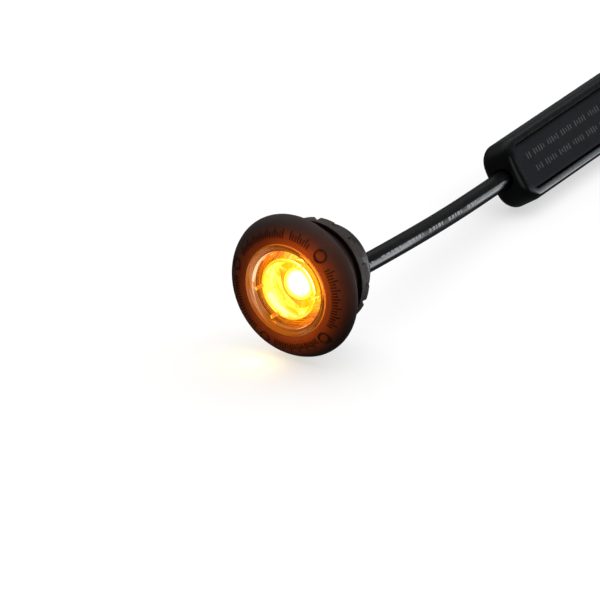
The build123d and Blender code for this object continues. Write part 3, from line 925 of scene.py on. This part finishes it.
# ---------------- tie, cores and tips ----------------
def bundle_outline(radius, steps=12):
    """The outline round the coil's three turns, that far from their middles."""
    centres = [(inner_r, low_z), (outer_r, low_z), (coil_mean_r, high_z)]
    starts = (150, 270, 30)
    return [
        (x + radius * cos(radians(start + 120 * k / steps)), z + radius * sin(radians(start + 120 * k / steps)))
        for (x, z), start in zip(centres, starts)
        for k in range(steps + 1)
    ]


def loop_data(outlines, y_values):
    """A closed strip: rings of points (x, z), each at its own y, joined one to the next all round."""
    n = len(outlines[0])
    points = [(x, y, z) for ring, y in zip(outlines, y_values) for x, z in ring]
    faces = []
    for k in range(len(outlines)):
        a, b = k * n, (k + 1) % len(outlines) * n
        faces += [(a + i, a + (i + 1) % n, b + (i + 1) % n, b + i) for i in range(n)]
    return points, faces


strap_gap, strap_t, strap_shoulder = 0.01, 0.5, 0.42
half_strap, half_strap_top = 1.9, 1.5
near, far = bundle_outline(cable_r + strap_gap), bundle_outline(cable_r + strap_t)
mid = bundle_outline(cable_r + strap_shoulder)
strap = loop_data([near, near, mid, far, far, mid],
                  [-half_strap, half_strap, half_strap, half_strap_top, -half_strap_top, -half_strap])
head = plate_data(4.6, 5.0, 0.6, rounded_profile(0, 2.2, 0.35))
head_matrix = Matrix.Translation((outer_r + cable_r + 0.1, 0, low_z + 0.4)) @ Matrix.Rotation(pi / 2, 4, "Y")
tie_matrix = Matrix.Translation(coil_middle * MM)
tie = solid("tie_strap", *joined(strap, turned(head, head_matrix)), tie_matrix)
dress(tie, nylon, nodes=["coil_tie"])

core_r, core_pitch, core_spread, core_run = 0.65, 1.36, 5.0, 22.0
tip_length, strand_r, strand_circle_r, strand_twist, strand_steps = 6.0, 0.125, 0.27, 0.35, 12
end_pieces = [tie]
for name, side, material, slot in (
    ("live", 1, core_red, "core_red"),
    ("ground", -1, core_black, "core_black"),
):
    near_x, far_x = end_x + side * core_pitch / 2, end_x + side * core_spread / 2
    core = cord_curve(f"core_{name}_wire", [
        (near_x, jacket_end_y + 1.5, cable_r),
        (near_x, jacket_end_y - core_run * 0.25, cable_r - 0.1),
        (far_x, jacket_end_y - core_run * 0.65, core_r),
        (far_x, jacket_end_y - core_run, core_r),
    ], core_r)
    dress(core, material, nodes=[f"core_{name}"])
    strands = []
    for k in range(7):
        ring = strand_circle_r if k < 6 else 0
        path = []
        for i in range(strand_steps + 1):
            angle = 2 * pi * k / 6 + i * strand_twist
            path.append(Vector((
                far_x + ring * cos(angle),
                jacket_end_y - core_run + 0.5 - (tip_length + 0.5) * i / strand_steps,
                core_r + ring * sin(angle),
            )))
        strands.append(tube_data(path, strand_r, 8))
    tip = solid(f"tip_{name}_strands", *joined(*strands), None, 50)
    dress(tip, tinned, nodes=[f"tip_{name}"])
    end_pieces += [core, tip]

# ---------------- CAD pieces that keep their shape ----------------
kept = {
    "led_board": board_painted_glow, "board_resistors": package_black, "board_diode": package_black, "potting": resin,
    "lead_live": core_red, "lead_ground": core_black, "module_potting": resin, "module_board": board_green,
    "module_regulator": package_black, "module_capacitor": tantalum, "module_diode": package_black,
    "module_inductor": ferrite, "module_resistors": package_black, "module_leads_front": core_red,
    "module_leads_rear": core_red,
}
for name, material in kept.items():
    for place in frame["nodes"][name].material_slots:
        place.material = material

module_pieces = [case, cover, label_bars] + [o for n, o in frame["nodes"].items() if n in kept and "module" in n]
module_pieces += [o for o in bpy.data.objects if o.name.startswith("seal_")]


# ---------------- floor, world and lights ----------------
floor_grey, floor_glow = (0.4, 0.4, 0.4), 0.6


def studio_floor():
    """A pale floor, bright enough to be nearly white, that still takes soft shadows."""
    mesh = bpy.data.meshes.new("floor")
    bm = bmesh.new()
    bmesh.ops.create_grid(bm, x_segments=1, y_segments=1, size=3)
    bm.to_mesh(mesh)
    bm.free()
    floor = shown("floor", mesh)
    material, nodes, links, shader = new_material("floor")
    shader.inputs["Base Color"].default_value = (*floor_grey, 1)
    shader.inputs["Roughness"].default_value = 1
    shader.inputs["Specular IOR Level"].default_value = 0
    shader.inputs["Emission Color"].default_value = (1, 1, 1, 1)
    shader.inputs["Emission Strength"].default_value = floor_glow
    mesh.materials.append(material)
    floor.visible_glossy = False
    floor.visible_diffuse = False
    return floor


floor = studio_floor()


def studio_world():
    """White to the camera, a wide light from above and behind for matt surfaces, and for gloss a dark room with
    soft boxes in it."""
    world = bpy.data.worlds.new("world")
    world.use_nodes = True
    nodes, links = world.node_tree.nodes, world.node_tree.links
    parts = nodes.new("ShaderNodeSeparateXYZ")
    links.new(nodes.new("ShaderNodeTexCoord").outputs["Generated"], parts.inputs[0])
    heading = maths(nodes, links, "ARCTAN2", parts.outputs["X"], parts.outputs["Y"])
    rise = maths(nodes, links, "ARCSINE", parts.outputs["Z"])

    def window(angle, middle, half, soft):
        away = maths(nodes, links, "ABSOLUTE", maths(nodes, links, "SUBTRACT", angle, radians(middle)))
        return map_range(nodes, links, away, (radians(half + soft), radians(half - soft)), kind="SMOOTHSTEP")

    light = room_light
    for heading_at, rise_at, half_wide, half_high, soft, strength in soft_boxes:
        box = maths(nodes, links, "MULTIPLY", window(heading, heading_at, half_wide, soft),
                    window(rise, rise_at, half_high, soft))
        light = maths(nodes, links, "MULTIPLY_ADD", box, strength, light)

    path = nodes.new("ShaderNodeLightPath")
    matt = nodes["Background"]
    above = node(nodes, "ShaderNodeVectorMath", operation="DOT_PRODUCT")
    links.new(parts.inputs[0].links[0].from_socket, above.inputs[0])
    above.inputs[1].default_value = sky_direction
    sky = map_range(nodes, links, above.outputs["Value"], sky_edges, sky_strengths, "SMOOTHSTEP")
    links.new(sky, matt.inputs["Strength"])
    seen = node(nodes, "ShaderNodeBackground")
    gloss = node(nodes, "ShaderNodeBackground")
    gloss.inputs["Color"].default_value = (0.9, 0.95, 1.0, 1)
    links.new(light, gloss.inputs["Strength"])
    for background in (matt, seen):
        background.inputs["Color"].default_value = (1, 1, 1, 1)
    out = matt.outputs[0]
    for ray, background in (("Is Glossy Ray", gloss), ("Is Camera Ray", seen)):
        mix = nodes.new("ShaderNodeMixShader")
        links.new(path.outputs[ray], mix.inputs[0])
        links.new(out, mix.inputs[1])
        links.new(background.outputs[0], mix.inputs[2])
        out = mix.outputs[0]
    links.new(out, nodes["World Output"].inputs["Surface"])
    bpy.context.scene.world = world


# The matt light: where it comes from, the cosines between which it fades in, and its strength at both.
sky_direction = Vector((-0.05, 0.75, 0.66)).normalized()
sky_edges, sky_strengths = (0.1, 0.95), (0.015, 2.3)
# What gloss reflects between the soft boxes.
room_light = 0.06
# Each soft box that gloss reflects: heading from +Y towards +X, rise, half width, half height and soft
# edge in degrees, and strength.
soft_boxes = (
    (32, -8, 14, 15, 6, 4.2),
    (146, 14, 14, 26, 8, 0.55),
    (72, -4, 20, 14, 8, 0.8),
    (-60, 50, 50, 22, 16, 0.3),
)
studio_world()


def lamp_light(name, place, watts, radius, colour, lit):
    """A soft point of the lamp's own light, which falls on the named things only."""
    data = bpy.data.lights.new(name, "POINT")
    data.energy, data.shadow_soft_size, data.color = watts, radius * MM, colour
    light = shown(name, data)
    light.location = vec(*place)
    group = bpy.data.collections.new(name + "_lit")
    for thing in lit:
        group.objects.link(thing)
    light.light_linking.receiver_collection = group
    light.visible_camera = False
    light.visible_glossy = False


# The light that spills from the lens's edge, stronger towards the sides where the beam leans. It falls on the
# rubber only, and one more light makes the patch on the floor.
lit_rubber = [grommet, grommet_marks]
edge_amber, beam_amber, floor_amber = (1.0, 0.14, 0.006), (1.0, 0.24, 0.03), (1.0, 0.62, 0.12)
edge_light_r, edge_light_y, least_watts, lean_watts = 8.2, -12.4, 0.0002, 0.0034
for k in range(12):
    angle = pi / 6 * k
    lean = max(0, cos(angle - radians(50))) ** 2 + 0.4 * max(0, cos(angle - radians(300))) ** 2
    place = (edge_light_r * cos(angle), edge_light_y, axis_z + edge_light_r * sin(angle))
    lamp_light(f"amber_edge_{k}", place, least_watts + lean_watts * lean, 2.0, edge_amber, lit_rubber)
lamp_light("amber_wide", (0.0, -24.0, axis_z - 4.0), 0.024, 4.0, beam_amber, lit_rubber)
lamp_light("amber_side", (13.0, -22.0, axis_z + 9.0), 0.011, 4.0, beam_amber, lit_rubber)
lamp_light("amber_on_floor", (-5.0, -13.0, 3.5), 0.003, 2.0, floor_amber, [floor])
bpy.context.scene.view_settings.view_transform = "Standard"
